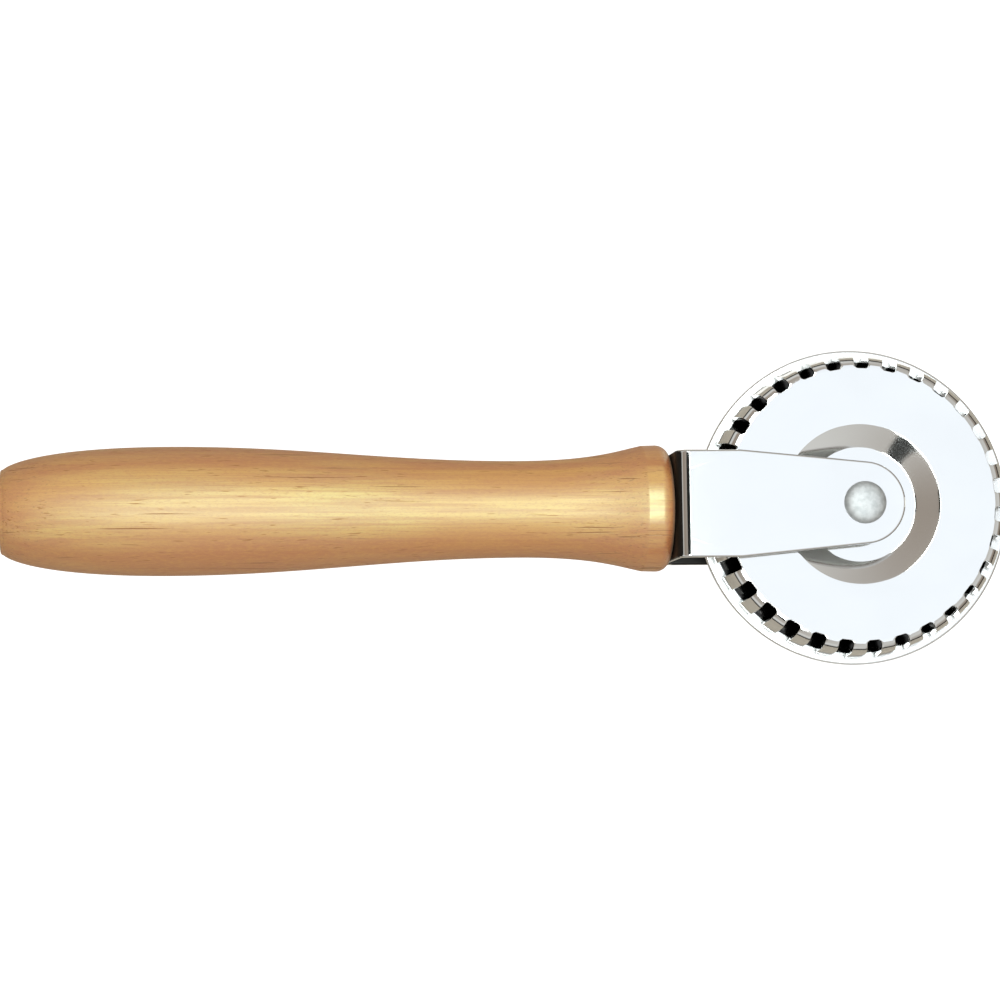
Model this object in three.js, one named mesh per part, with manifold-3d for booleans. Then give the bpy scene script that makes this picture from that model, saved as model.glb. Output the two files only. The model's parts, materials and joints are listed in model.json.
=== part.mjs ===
// Pastry crimper: a turned wooden handle, a bent steel yoke, and a wheel set in which a plain
// cutter turns between two crimping crowns with slotted rims.
// Millimetres. The tool lies on its side: +X runs from the butt of the handle to the wheel, and
// +Z along the axle. The origin is on the surface that the tool lies on, under its middle.
import * as THREE from 'three';
import { mergeVertices } from 'three/addons/utils/BufferGeometryUtils.js';
import Module from 'manifold-3d';

// Handle
const handleLength = 119.2;
const buttRadius = 7.6;
const buttEdge = 0.5;
const palmRadius = 11.5;
const palmFromButt = 30.2;
const waistRadius = 8.7;
const waistFromFront = 27.3;
const collarRadius = 11.4;
const collarFromFront = 4.3;
const frontRounding = 2.2;

// How far each end of a handle curve runs straight on, as a share of the curve's length
const buttLead = 0.035;
const palmLeadBack = 0.73;
const palmLeadOn = 0.385;
const waistLeadBack = 0.37;
const waistLeadOn = 0.63;
const collarLeadBack = 0.17;

// Wheel set
const cutterRadius = 28.6;
const cutterThickness = 0.9;
const grindWidth = 0.4;
const cutterEdge = 0.3;
const crownSheet = 0.8;
const crownTeeth = 31;
const slotWidth = 2.95;
const slotCorner = 0.7;
const slotPhase = 7.2;
const slotBite = 1.55;
const tabDepth = 6.4;
const tabFlare = 1.65;
const tabBendInside = 1.2;
const cutterReveal = 0.8;
const cutterGap = 1.35;
const hubRadius = 9.95;
const dishWallWidth = 4.1;
const dishDepth = 1.55;
const dishRounding = 0.5;
const bushWall = 1.5;
const bushStake = 0.3;
const spacerWall = 2.4;

// Axle
const rivetRadius = 2.4;
const rivetHeadRadius = 3.8;
const rivetHeadHeight = 1.5;
const rivetTailRadius = 3.6;
const rivetTailHeight = 1.3;
const thrustCollarWall = 2.4;

// Yoke
const strapThickness = 1.2;
const strapBend = 1.2;
const webHeight = 19.2;
const armStraight = 9.2;
const armTipRadius = 7.4;

// Fixing screw
const screwRadius = 2.1;
const screwLength = 32;
const screwPoint = 5;
const screwHeadRadius = 4;
const screwHeadHeight = 2.3;
const driveSlotWidth = 1.1;
const driveSlotDepth = 1.1;

// Clearances
const seat = 0.05;
const runningFit = 0.08;
const axleHoleFit = 0.06;
const armClearance = 2.2;
const wheelToScrew = 1.8;
const endFloat = 0.2;
const boreEndRoom = 1;

// How far cutting bodies run past what they cut, and how close points are one point
const overcut = 1;
const weld = 1e-5;

// Worked out from the sizes above, from the middle of the wheel outwards
const crownFace = cutterThickness / 2 + cutterGap + tabDepth;
const crownHub = crownFace - dishDepth;
const dishRadius = hubRadius + dishWallWidth;
const tabBend = tabBendInside + crownSheet;
const tabEndRadius = cutterRadius - cutterReveal;
const crownShoulder = tabEndRadius - tabFlare;
const slotRoot = crownShoulder - slotBite;
const bushBore = rivetRadius + runningFit;
const bushRadius = bushBore + bushWall;
const bushReach = crownHub + bushStake;
const armInside = crownFace + armClearance;
const armOutside = armInside + strapThickness;
const webInside = -(cutterRadius + wheelToScrew + screwHeadHeight);
const webOutside = webInside - strapThickness;
const handleFront = webOutside - seat;
const handleButt = handleFront - handleLength;
const screwBore = screwRadius + seat;

// Facets
const handleSides = 32;
const cutterSides = 72;
const smallSides = 24;
const swellSteps = 8;
const dishSteps = 4;
const arcSteps = 3;
const slotCornerSteps = 1;
const tipSteps = 12;

const steel = { color: 0xe6ebee, metalness: 1 };
const polishedSteel = new THREE.MeshStandardMaterial({ ...steel, roughness: 0.08 });
const satinSteel = new THREE.MeshStandardMaterial({ ...steel, color: 0xb4b8b2, roughness: 0.35 });
const turnedSteel = new THREE.MeshStandardMaterial({ ...steel, color: 0xa9adad, roughness: 0.3 });
const varnishedWood = new THREE.MeshStandardMaterial({ color: 0xbe9966, roughness: 0.22 });

const wasm = await Module();
wasm.setup();

// A closed geometry as a solid that can be joined and cut.
function solid(geometry) {
  geometry.deleteAttribute('normal');
  geometry.deleteAttribute('uv');
  const merged = mergeVertices(geometry, weld);
  const corners = merged.index.array;
  const kept = [];
  for (let i = 0; i < corners.length; i += 3) {
    const [a, b, c] = corners.subarray(i, i + 3);
    if (a !== b && b !== c && c !== a) kept.push(a, b, c);
  }
  return new wasm.Manifold(new wasm.Mesh({
    numProp: 3,
    vertProperties: new Float32Array(merged.attributes.position.array),
    triVerts: new Uint32Array(kept),
  }));
}

// A named mesh made from a solid.
function piece(name, body, material) {
  const { vertProperties, triVerts } = body.getMesh();
  const geometry = new THREE.BufferGeometry();
  geometry.setAttribute('position', new THREE.BufferAttribute(vertProperties, 3));
  geometry.setIndex(new THREE.BufferAttribute(triVerts, 1));
  geometry.computeVertexNormals();
  const mesh = new THREE.Mesh(geometry, material);
  mesh.name = name;
  return mesh;
}

// Solids of revolution: an anticlockwise outline of (radius, height) about the X or the Z axis.
function turnedAlongX(outline, sides) {
  return solid(new THREE.LatheGeometry(outline, sides).rotateZ(-Math.PI / 2));
}

function turnedAlongZ(outline, sides, phase = 0) {
  return solid(new THREE.LatheGeometry(outline, sides, phase).rotateX(Math.PI / 2));
}

// A plain ring about the Z axis.
function ring(inner, outer, bottom, top) {
  const section = [
    new THREE.Vector2(inner, bottom),
    new THREE.Vector2(outer, bottom),
    new THREE.Vector2(outer, top),
    new THREE.Vector2(inner, top),
    new THREE.Vector2(inner, bottom),
  ];
  return turnedAlongZ(section, smallSides);
}

// A straight round cutter for a hole, along Z.
function holeAlongZ(radius, halfLength) {
  const cylinder = new THREE.CylinderGeometry(radius, radius, 2 * halfLength, smallSides);
  return solid(cylinder.rotateX(Math.PI / 2));
}

// The handle's outline: butt with a softened edge, swell for the palm, waist, collar, round front.
function handle() {
  const palm = palmFromButt;
  const waist = handleLength - waistFromFront;
  const collar = handleLength - collarFromFront;
  const grip = waist - palm;
  const throat = collar - waist;
  const boreDepth = screwLength - strapThickness + boreEndRoom;
  const at = (radius, height) => new THREE.Vector2(radius, height);
  const buttCorner = new THREE.QuadraticBezierCurve(
    at(buttRadius - buttEdge, 0), at(buttRadius, 0), at(buttRadius, buttEdge));
  const palmSwell = new THREE.CubicBezierCurve(
    at(buttRadius, buttEdge), at(buttRadius + buttLead * palm, buttEdge + buttLead * palm),
    at(palmRadius, palm - palmLeadBack * palm), at(palmRadius, palm));
  const gripTaper = new THREE.CubicBezierCurve(
    at(palmRadius, palm), at(palmRadius, palm + palmLeadOn * grip),
    at(waistRadius, waist - waistLeadBack * grip), at(waistRadius, waist));
  const collarFlare = new THREE.CubicBezierCurve(
    at(waistRadius, waist), at(waistRadius, waist + waistLeadOn * throat),
    at(collarRadius, collar - collarLeadBack * throat), at(collarRadius, collar));
  const frontCorner = new THREE.EllipseCurve(
    collarRadius - frontRounding, collar, frontRounding, collarFromFront, 0, Math.PI / 2);
  const outline = [
    at(0, 0),
    ...buttCorner.getPoints(arcSteps),
    ...palmSwell.getPoints(swellSteps),
    ...gripTaper.getPoints(swellSteps),
    ...collarFlare.getPoints(swellSteps),
    ...frontCorner.getPoints(2 * arcSteps),
    at(screwBore, handleLength),
    at(screwBore, handleLength - boreDepth + screwPoint),
    at(0, handleLength - boreDepth),
  ];
  const body = turnedAlongX(outline, handleSides).translate([handleButt, 0, 0]);
  return piece('handle', body, varnishedWood);
}

// The yoke: a U section as high as the web, trimmed to the plan of the tapered arms, then drilled.
function yoke() {
  const outerBend = strapBend + strapThickness;
  const farEnd = armTipRadius + overcut;
  const section = new THREE.Shape();
  section.moveTo(farEnd, -armOutside);
  section.lineTo(farEnd, -armInside);
  section.lineTo(webOutside + outerBend, -armInside);
  section.absarc(webOutside + outerBend, -armInside + strapBend, strapBend, -Math.PI / 2, Math.PI, true);
  section.lineTo(webInside, armInside - strapBend);
  section.absarc(webOutside + outerBend, armInside - strapBend, strapBend, Math.PI, Math.PI / 2, true);
  section.lineTo(farEnd, armInside);
  section.lineTo(farEnd, armOutside);
  section.lineTo(webOutside + outerBend, armOutside);
  section.absarc(webOutside + outerBend, armOutside - outerBend, outerBend, Math.PI / 2, Math.PI, false);
  section.lineTo(webOutside, -armOutside + outerBend);
  section.absarc(webOutside + outerBend, -armOutside + outerBend, outerBend, Math.PI, 1.5 * Math.PI, false);
  section.closePath();
  const strap = new THREE.ExtrudeGeometry(
    section, { depth: webHeight, bevelEnabled: false, curveSegments: arcSteps });
  const bent = solid(strap.rotateX(Math.PI / 2).translate(0, webHeight / 2, 0));

  const taperStart = webOutside + outerBend + armStraight;
  const half = webHeight / 2;
  const toTaper = Math.hypot(taperStart, half);
  const tangent = Math.atan2(half, taperStart) - Math.acos(armTipRadius / toTaper);
  const plan = new THREE.Shape();
  plan.moveTo(webOutside - overcut, -half);
  plan.lineTo(taperStart, -half);
  plan.absarc(0, 0, armTipRadius, -tangent, tangent, false);
  plan.lineTo(taperStart, half);
  plan.lineTo(webOutside - overcut, half);
  plan.closePath();
  const trim = new THREE.ExtrudeGeometry(
    plan, { depth: 2 * (armOutside + overcut), bevelEnabled: false, curveSegments: tipSteps });
  const arms = solid(trim.translate(0, 0, -armOutside - overcut));

  const screwHole = new THREE.CylinderGeometry(
    screwBore, screwBore, strapThickness + 2 * overcut, smallSides);
  screwHole.rotateZ(Math.PI / 2).translate((webInside + webOutside) / 2, 0, 0);
  const body = bent.intersect(arms)
    .subtract(holeAlongZ(rivetRadius + axleHoleFit, armOutside + overcut))
    .subtract(solid(screwHole));
  return piece('yoke', body, polishedSteel);
}

// The rivet: a shank between a domed head in front and a flatter formed head behind.
function axleRivet() {
  const head = armOutside + seat;
  const outline = new THREE.Path();
  outline.moveTo(0, -head - rivetTailHeight);
  outline.quadraticCurveTo(rivetTailRadius, -head - rivetTailHeight, rivetTailRadius, -head);
  outline.lineTo(rivetRadius, -head);
  outline.lineTo(rivetRadius, head);
  outline.lineTo(rivetHeadRadius, head);
  outline.quadraticCurveTo(rivetHeadRadius, head + rivetHeadHeight, 0, head + rivetHeadHeight);
  return piece('axle_rivet', turnedAlongZ(outline.getPoints(arcSteps + 1), smallSides), satinSteel);
}

// The cutter: a thin disc ground from both faces to a narrow edge.
function cutterDisc() {
  const half = cutterThickness / 2;
  const outline = [
    [bushRadius + seat, -half],
    [cutterRadius - grindWidth, -half],
    [cutterRadius, -cutterEdge / 2],
    [cutterRadius, cutterEdge / 2],
    [cutterRadius - grindWidth, half],
    [bushRadius + seat, half],
    [bushRadius + seat, -half],
  ].map(([radius, height]) => new THREE.Vector2(radius, height));
  return piece('cutter_disc', turnedAlongZ(outline, cutterSides), polishedSteel);
}

// The front crown's section: dished hub, flat face, and a rim bent down and slightly outwards.
function crownSection() {
  const lean = Math.atan2(tabFlare, tabDepth);
  const turn = Math.PI / 2 - lean;
  const bendRadius = crownShoulder - tabBend * Math.tan(turn / 2);
  const bendHeight = crownFace - tabBend;
  const at = (radius, height) => new THREE.Vector2(radius, height);
  const dish = new THREE.CubicBezierCurve(
    at(dishRadius, crownFace), at(dishRadius - dishRounding, crownFace),
    at(hubRadius + dishRounding, crownHub), at(hubRadius, crownHub));
  const bend = (size, from, to, clockwise) => new THREE.EllipseCurve(
    bendRadius, bendHeight, size, size, from, to, clockwise);
  return [
    at(bushRadius + seat, crownHub - crownSheet),
    at(hubRadius, crownHub - crownSheet),
    at(dishRadius, crownFace - crownSheet),
    ...bend(tabBendInside, Math.PI / 2, lean, true).getPoints(arcSteps - 1),
    at(tabEndRadius - crownSheet * Math.cos(lean), crownFace - tabDepth),
    at(tabEndRadius, crownFace - tabDepth),
    ...bend(tabBend, lean, Math.PI / 2, false).getPoints(arcSteps + 1),
    ...dish.getPoints(dishSteps),
    at(bushRadius + seat, crownHub),
    at(bushRadius + seat, crownHub - crownSheet),
  ];
}

// One slot of the rim, with round corners at its root, long enough to leave the rim.
function slotCutter() {
  const half = slotWidth / 2;
  const slot = new THREE.Shape();
  slot.moveTo(tabEndRadius + overcut, half);
  slot.lineTo(slotRoot + slotCorner, half);
  slot.absarc(slotRoot + slotCorner, half - slotCorner, slotCorner, Math.PI / 2, Math.PI, false);
  slot.absarc(slotRoot + slotCorner, slotCorner - half, slotCorner, Math.PI, 1.5 * Math.PI, false);
  slot.lineTo(tabEndRadius + overcut, -half);
  slot.closePath();
  const depth = tabDepth + 2 * overcut;
  return new THREE.ExtrudeGeometry(slot, { depth, bevelEnabled: false, curveSegments: slotCornerSteps })
    .translate(0, 0, crownFace - tabDepth - overcut);
}

// The crown: its section turned about the axle, with the slots cut between the tabs of the rim.
function crownSolid() {
  const pitch = 2 * Math.PI / crownTeeth;
  const phase = THREE.MathUtils.degToRad(slotPhase);
  let body = turnedAlongZ(crownSection(), 2 * crownTeeth, Math.PI / 2 + phase);
  for (let tooth = 0; tooth < crownTeeth; tooth += 1) {
    body = body.subtract(solid(slotCutter().rotateZ(phase + tooth * pitch)));
  }
  return body;
}

function crimpCrowns() {
  const front = crownSolid();
  const rear = front.mirror([0, 0, 1]);
  return [
    piece('front_crimp_crown', front, polishedSteel),
    piece('rear_crimp_crown', rear, polishedSteel),
  ];
}

// The hub: a bush on the rivet through the crowns and the cutter, spacers inside the crowns.
function hubPieces() {
  const spacerFoot = cutterThickness / 2 + seat;
  const spacerTop = crownHub - crownSheet - seat;
  const bore = bushRadius + seat;
  const wall = bore + spacerWall;
  return [
    piece('hub_bush', ring(bushBore, bushRadius, -bushReach, bushReach), turnedSteel),
    piece('front_spacer', ring(bore, wall, spacerFoot, spacerTop), turnedSteel),
    piece('rear_spacer', ring(bore, wall, -spacerTop, -spacerFoot), turnedSteel),
  ];
}

// Collars on the rivet that keep the wheel set in the middle of the yoke.
function thrustCollars() {
  const foot = bushReach + endFloat;
  const top = armInside - seat;
  const wall = bushBore + thrustCollarWall;
  return [
    piece('front_thrust_collar', ring(bushBore, wall, foot, top), turnedSteel),
    piece('rear_thrust_collar', ring(bushBore, wall, -top, -foot), turnedSteel),
  ];
}

// The wood screw: pan head with a plain drive slot inside the yoke, shank and point in the handle.
function yokeScrew() {
  const outline = new THREE.Path();
  outline.moveTo(0, -screwLength);
  outline.lineTo(screwRadius - seat, -screwLength + screwPoint);
  outline.lineTo(screwRadius - seat, seat);
  outline.lineTo(screwHeadRadius, seat);
  outline.lineTo(screwHeadRadius, screwHeadHeight / 2);
  outline.quadraticCurveTo(screwHeadRadius, screwHeadHeight, screwHeadRadius / 2, screwHeadHeight);
  outline.lineTo(0, screwHeadHeight);
  const slot = new THREE.BoxGeometry(
    2 * driveSlotDepth, 2 * (screwHeadRadius + overcut), driveSlotWidth);
  const body = turnedAlongX(outline.getPoints(arcSteps), smallSides)
    .subtract(solid(slot.translate(screwHeadHeight, 0, 0)))
    .translate([webInside, 0, 0]);
  return piece('yoke_screw', body, turnedSteel);
}

// Built about the middle of the axle, then set down on the surface under the middle of its length.
const crimper = new THREE.Group();
crimper.add(handle(), yoke(), yokeScrew(), axleRivet(), cutterDisc());
crimper.add(...crimpCrowns(), ...hubPieces(), ...thrustCollars());
crimper.position.set(
  -(handleButt + cutterRadius) / 2, 0, armOutside + seat + rivetTailHeight);

export default crimper;
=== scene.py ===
# Looks of the pastry crimper: smooth turned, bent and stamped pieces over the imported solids
import json
import math
import random

import bmesh
import bpy
from mathutils import Matrix, Vector


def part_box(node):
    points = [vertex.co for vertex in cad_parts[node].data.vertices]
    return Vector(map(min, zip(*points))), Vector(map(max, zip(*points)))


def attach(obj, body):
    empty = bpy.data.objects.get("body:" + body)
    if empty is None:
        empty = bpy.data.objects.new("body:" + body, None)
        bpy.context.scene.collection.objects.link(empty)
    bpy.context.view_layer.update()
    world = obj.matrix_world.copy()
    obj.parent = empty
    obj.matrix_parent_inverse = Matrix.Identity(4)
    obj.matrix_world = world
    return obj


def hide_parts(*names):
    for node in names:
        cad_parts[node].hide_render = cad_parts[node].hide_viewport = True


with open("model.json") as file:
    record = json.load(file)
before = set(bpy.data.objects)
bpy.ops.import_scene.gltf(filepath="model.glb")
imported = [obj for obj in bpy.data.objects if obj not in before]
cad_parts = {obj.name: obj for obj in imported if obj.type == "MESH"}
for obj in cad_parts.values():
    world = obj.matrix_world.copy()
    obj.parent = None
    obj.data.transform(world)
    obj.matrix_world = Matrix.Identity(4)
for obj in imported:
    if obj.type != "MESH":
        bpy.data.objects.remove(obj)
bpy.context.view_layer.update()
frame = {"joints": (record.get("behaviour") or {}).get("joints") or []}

mm = 0.001
quarterTurn = math.pi / 2
fullTurn = 2 * math.pi
axle = Vector(frame["joints"][0]["pos_m"])  # middle of the wheel
bushSeat = 4.03 * mm  # bore of what sits on the bush
rivetFit = 2.48 * mm  # bore of what runs on the rivet
roundProfile = 0.5  # a bevel that is an arc
print("frame loaded, axle at", [round(value / mm, 3) for value in axle])


# outlines, as lists of points

def curve(start, startPull, endPull, end, steps):
    points = []
    for step in range(steps + 1):
        t = step / steps
        u = 1 - t
        points.append(tuple(
            u**3 * a + 3 * u * u * t * b + 3 * u * t * t * c + t**3 * d
            for a, b, c, d in zip(start, startPull, endPull, end)))
    return points


def arc(centre, size, fromAngle, toAngle, steps):
    points = []
    for step in range(steps + 1):
        angle = fromAngle + (toAngle - fromAngle) * step / steps
        points.append((centre[0] + size[0] * math.cos(angle), centre[1] + size[1] * math.sin(angle)))
    return points


def straight(start, end, steps):  # points along a line, without its start
    points = []
    for step in range(1, steps + 1):
        points.append(tuple(a + (b - a) * step / steps for a, b in zip(start, end)))
    return points


def eased(corners, radius, steps):  # a closed outline with its corners rounded off
    points = []
    count = len(corners)
    for i in range(count):
        here = Vector(corners[i])
        back = (Vector(corners[i - 1]) - here).normalized()
        on = (Vector(corners[(i + 1) % count]) - here).normalized()
        for step in range(steps + 1):
            t = step / steps
            u = 1 - t
            points.append(tuple(here + u * u * radius * back + t * t * radius * on))
    return points


# meshes

def turned(outline, sides, along, ring=False):  # a lathe, about the handle or the axle
    bm = bmesh.new()
    rows = []
    for radius, height in outline:
        row = []
        for side in range(sides):
            angle = fullTurn * side / sides
            a, b = radius * math.cos(angle), radius * math.sin(angle)
            row.append(bm.verts.new((height, a, b) if along == "X" else (a, b, height)))
            if radius == 0:
                break
        rows.append(row)
    if ring:
        rows.append(rows[0])
    for low, high in zip(rows, rows[1:]):
        for side in range(sides):
            corners = [low[side % len(low)], low[(side + 1) % len(low)],
                       high[(side + 1) % len(high)], high[side % len(high)]]
            corners = [vert for i, vert in enumerate(corners) if vert not in corners[:i]]
            if len(corners) > 2:
                bm.faces.new(corners)
    bmesh.ops.recalc_face_normals(bm, faces=bm.faces)
    bmesh.ops.translate(bm, verts=bm.verts, vec=(0, axle.y, axle.z) if along == "X" else axle)
    return bm


def makePiece(name, bm, material, body, node, crease):
    mesh = bpy.data.meshes.new(name)
    bm.to_mesh(mesh)
    bm.free()
    mesh.polygons.foreach_set("use_smooth", [True] * len(mesh.polygons))
    mesh.set_sharp_from_angle(angle=crease)
    mesh.materials.append(material)
    piece = bpy.data.objects.new(name, mesh)
    bpy.context.scene.collection.objects.link(piece)
    even = piece.modifiers.new("evenNormals", "WEIGHTED_NORMAL")
    even.keep_sharp = True
    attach(piece, body)
    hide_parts(node)
    print("made", name, "with", len(mesh.polygons), "faces")
    return piece


# materials

class Nodes:  # builds the node tree of a material or of the world
    def __init__(self, owner):
        owner.use_nodes = True
        self.owner = owner
        self.tree = owner.node_tree

    def add(self, kind, settings=None, **inputs):
        node = self.tree.nodes.new(kind)
        for name, value in (settings or {}).items():
            setattr(node, name, value)
        for name, value in inputs.items():
            self.feed(node, name.replace("_", " "), value)
        return node

    def feed(self, node, socket, value):
        if isinstance(value, bpy.types.NodeSocket):
            self.tree.links.new(value, node.inputs[socket])
        else:
            node.inputs[socket].default_value = value

    def place(self, scale, turn=(0, 0, 0), shift=(0, 0, 0)):  # solid coordinates, in the part's metres
        coords = self.add("ShaderNodeTexCoord")
        mapping = self.add("ShaderNodeMapping", Vector=coords.outputs["Object"],
                           Scale=scale, Rotation=turn, Location=shift)
        return mapping.outputs["Vector"]

    def noise(self, cells, detail=3.0, roughness=0.5, turn=(0, 0, 0), shift=(0, 0, 0)):  # cells to a metre
        node = self.add("ShaderNodeTexNoise", Vector=self.place(cells, turn, shift),
                        Scale=1.0, Detail=detail, Roughness=roughness)
        return node.outputs["Fac"]

    def ramp(self, value, low, high):  # 0 up to low, 1 from high, a soft rise between them
        node = self.add("ShaderNodeMapRange", {"interpolation_type": "SMOOTHSTEP"},
                        Value=value, From_Min=low, From_Max=high)
        return node.outputs["Result"]

    def span(self, value, fromLow, fromHigh, toLow, toHigh):
        node = self.add("ShaderNodeMapRange", Value=value, From_Min=fromLow, From_Max=fromHigh,
                        To_Min=toLow, To_Max=toHigh)
        return node.outputs["Result"]

    def calc(self, operation, a, b=0.0):
        node = self.add("ShaderNodeMath", {"operation": operation})
        self.feed(node, 0, a)
        self.feed(node, 1, b)
        return node.outputs[0]

    def addShare(self, value, depth, share):
        return self.calc("ADD", value, self.calc("MULTIPLY", depth, share))

    def mix(self, share, a, b):
        node = self.add("ShaderNodeMix", {"data_type": "RGBA"})
        for socket, value in ((0, share), (6, a), (7, b)):  # 6 and 7 are the node's two colours
            self.feed(node, socket, value)
        return node.outputs[2]

    def tint(self, colour, depth, share, towards):
        return self.mix(self.calc("MULTIPLY", depth, share), colour, towards)

    def aboutAxle(self):
        return self.place((1, 1, 1), (0, 0, 0), [-value for value in axle])

    def fromAxle(self):  # distance from the axle
        split = self.add("ShaderNodeSeparateXYZ", Vector=self.aboutAxle())
        squares = [self.calc("MULTIPLY", split.outputs[name], split.outputs[name]) for name in ("X", "Y")]
        return self.calc("SQRT", self.calc("ADD", *squares))

    def latheRings(self, scale, distortion, detail):  # fine rings about the axle
        node = self.add("ShaderNodeTexWave", {"wave_type": "RINGS", "rings_direction": "Z"},
                        Vector=self.aboutAxle(), Scale=scale, Distortion=distortion, Detail=detail)
        return node.outputs["Fac"]

    def bump(self, height, distance, strength, under=None):
        node = self.add("ShaderNodeBump", Height=height, Distance=distance, Strength=strength)
        if under is not None:
            self.feed(node, "Normal", under)
        return node.outputs["Normal"]

    def finish(self, inputs):  # hands the inputs to the surface
        shader = self.tree.nodes["Principled BSDF"]
        for name, value in inputs.items():
            self.feed(shader, name, value)
        return self.owner


woodLook = {
    "gold": (0.57, 0.385, 0.115, 1), "honey": (0.53, 0.25, 0.062, 1), "red": (0.37, 0.103, 0.05, 1),
    "pore": (0.20, 0.065, 0.026, 1), "endGrainShade": (0.20, 0.068, 0.042, 1),
    "grainTilt": (0, math.radians(0.7), math.radians(1.1)),
    "pith": (0, 6 * mm, -40 * mm), "ringStretch": (0.06, 1, 1),
    "ringScale": 95.0, "ringWobble": 2.2, "ringDetail": 2.0, "ringDetailScale": 1.2,
    "paintedHighlightMiddle": 0.8 * mm, "redSway": 8 * mm,       # painted highlight and shade: golden along the lit middle, redder to both sides of a swaying line
    # noises in the grain: cells to a metre along and across it, detail, roughness, shift in cells
    "noises": {
        "sway": ((16, 90, 90), 3.0, 0.5, (0, 0, 0)),
        "clouds": ((24, 80, 80), 2.0, 0.5, (0, 0, 0)),
        "streaks": ((22, 620, 250), 3.0, 0.55, (0, 0, 0)),
        "fibres": ((28, 1300, 400), 4.0, 0.6, (1.3, 0.4, 2.2)),
        "lines": ((34, 4200, 700), 2.0, 0.5, (0.3, 2.4, 1.2)),
        "speckle": ((900, 2600, 2600), 2.0, 0.6, (0, 0, 0)),
        "flecks": ((1500, 4000, 4000), 2.0, 0.6, (0.9, 0.1, 0.7)),
        "poreField": ((30, 200, 200), 2.0, 0.5, (3.1, 1.7, 0.4)),
        "longPores": ((40, 2800, 300), 1.5, 0.45, (0, 0, 0)),
        "shortPores": ((260, 3300, 3300), 1.0, 0.5, (0.7, 0.2, 1.9)),
        "dots": ((1300, 2600, 2600), 1.0, 0.5, (0, 0, 0)),
    },
    "goldClouds": (0.34, 0.66),
    # tints, one over the other: what brings it, from where to where, its share and its colour
    "tints": (
        ("rings", 0.25, 1.0, 0.20, "red"),
        # sides: painted shade, redder towards the flanks, away from the lit middle
        ("sides", 3.0 * mm, 9.5 * mm, 0.70, "red"),
        ("streaks", 0.46, 0.64, 0.50, "red"),
        ("fibres", 0.42, 0.66, 0.44, "red"),
        ("lines", 0.50, 0.70, 0.35, "red"),
        # slope: redder where the surface turns towards the ends, partly end grain and partly painted shade
        # where the highlight fades at the butt
        ("slope", 0.05, 0.32, 0.45, "red"),
        ("speckle", 0.42, 0.68, 0.35, "honey"),
        ("flecks", 0.48, 0.70, 0.36, "red"),
    ),
    "poreFieldRange": (0.35, 0.65), "poreLimits": (0.74, 0.64),  # pores crowd together in places
    "longRange": (-0.02, 0.07), "longShare": 0.75, "shortRange": (-0.03, 0.06), "shortShare": 0.50,
    "dotRange": (0.62, 0.72), "dotSlope": (0.08, 0.22), "dotShare": 0.45,
    "endSlope": (0.62, 0.86), "endShare": 0.8,
    "landFrom": 4.85 * mm, "landTo": 4.75 * mm,      # the collar's smoother land, from the front
    "bodyRoughness": 0.47, "landRoughness": 0.33, "poreRoughness": 0.45, "endRoughness": 0.5,
    "fibreRange": (0.3, 0.7), "fibreRoughness": (-0.04, 0.05),
    # reliefs: depth and strength
    "turningMarks": ((1500, 6, 6), 2.0), "markRelief": (0.010 * mm, 0.5),
    "fibreRelief": (0.05 * mm, 0.5), "poreRelief": (0.05 * mm, 0.6),
    "refraction": 1.8, "specular": 0.95, "sheen": (0.86, 1.0, 0.66, 1),
}


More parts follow.
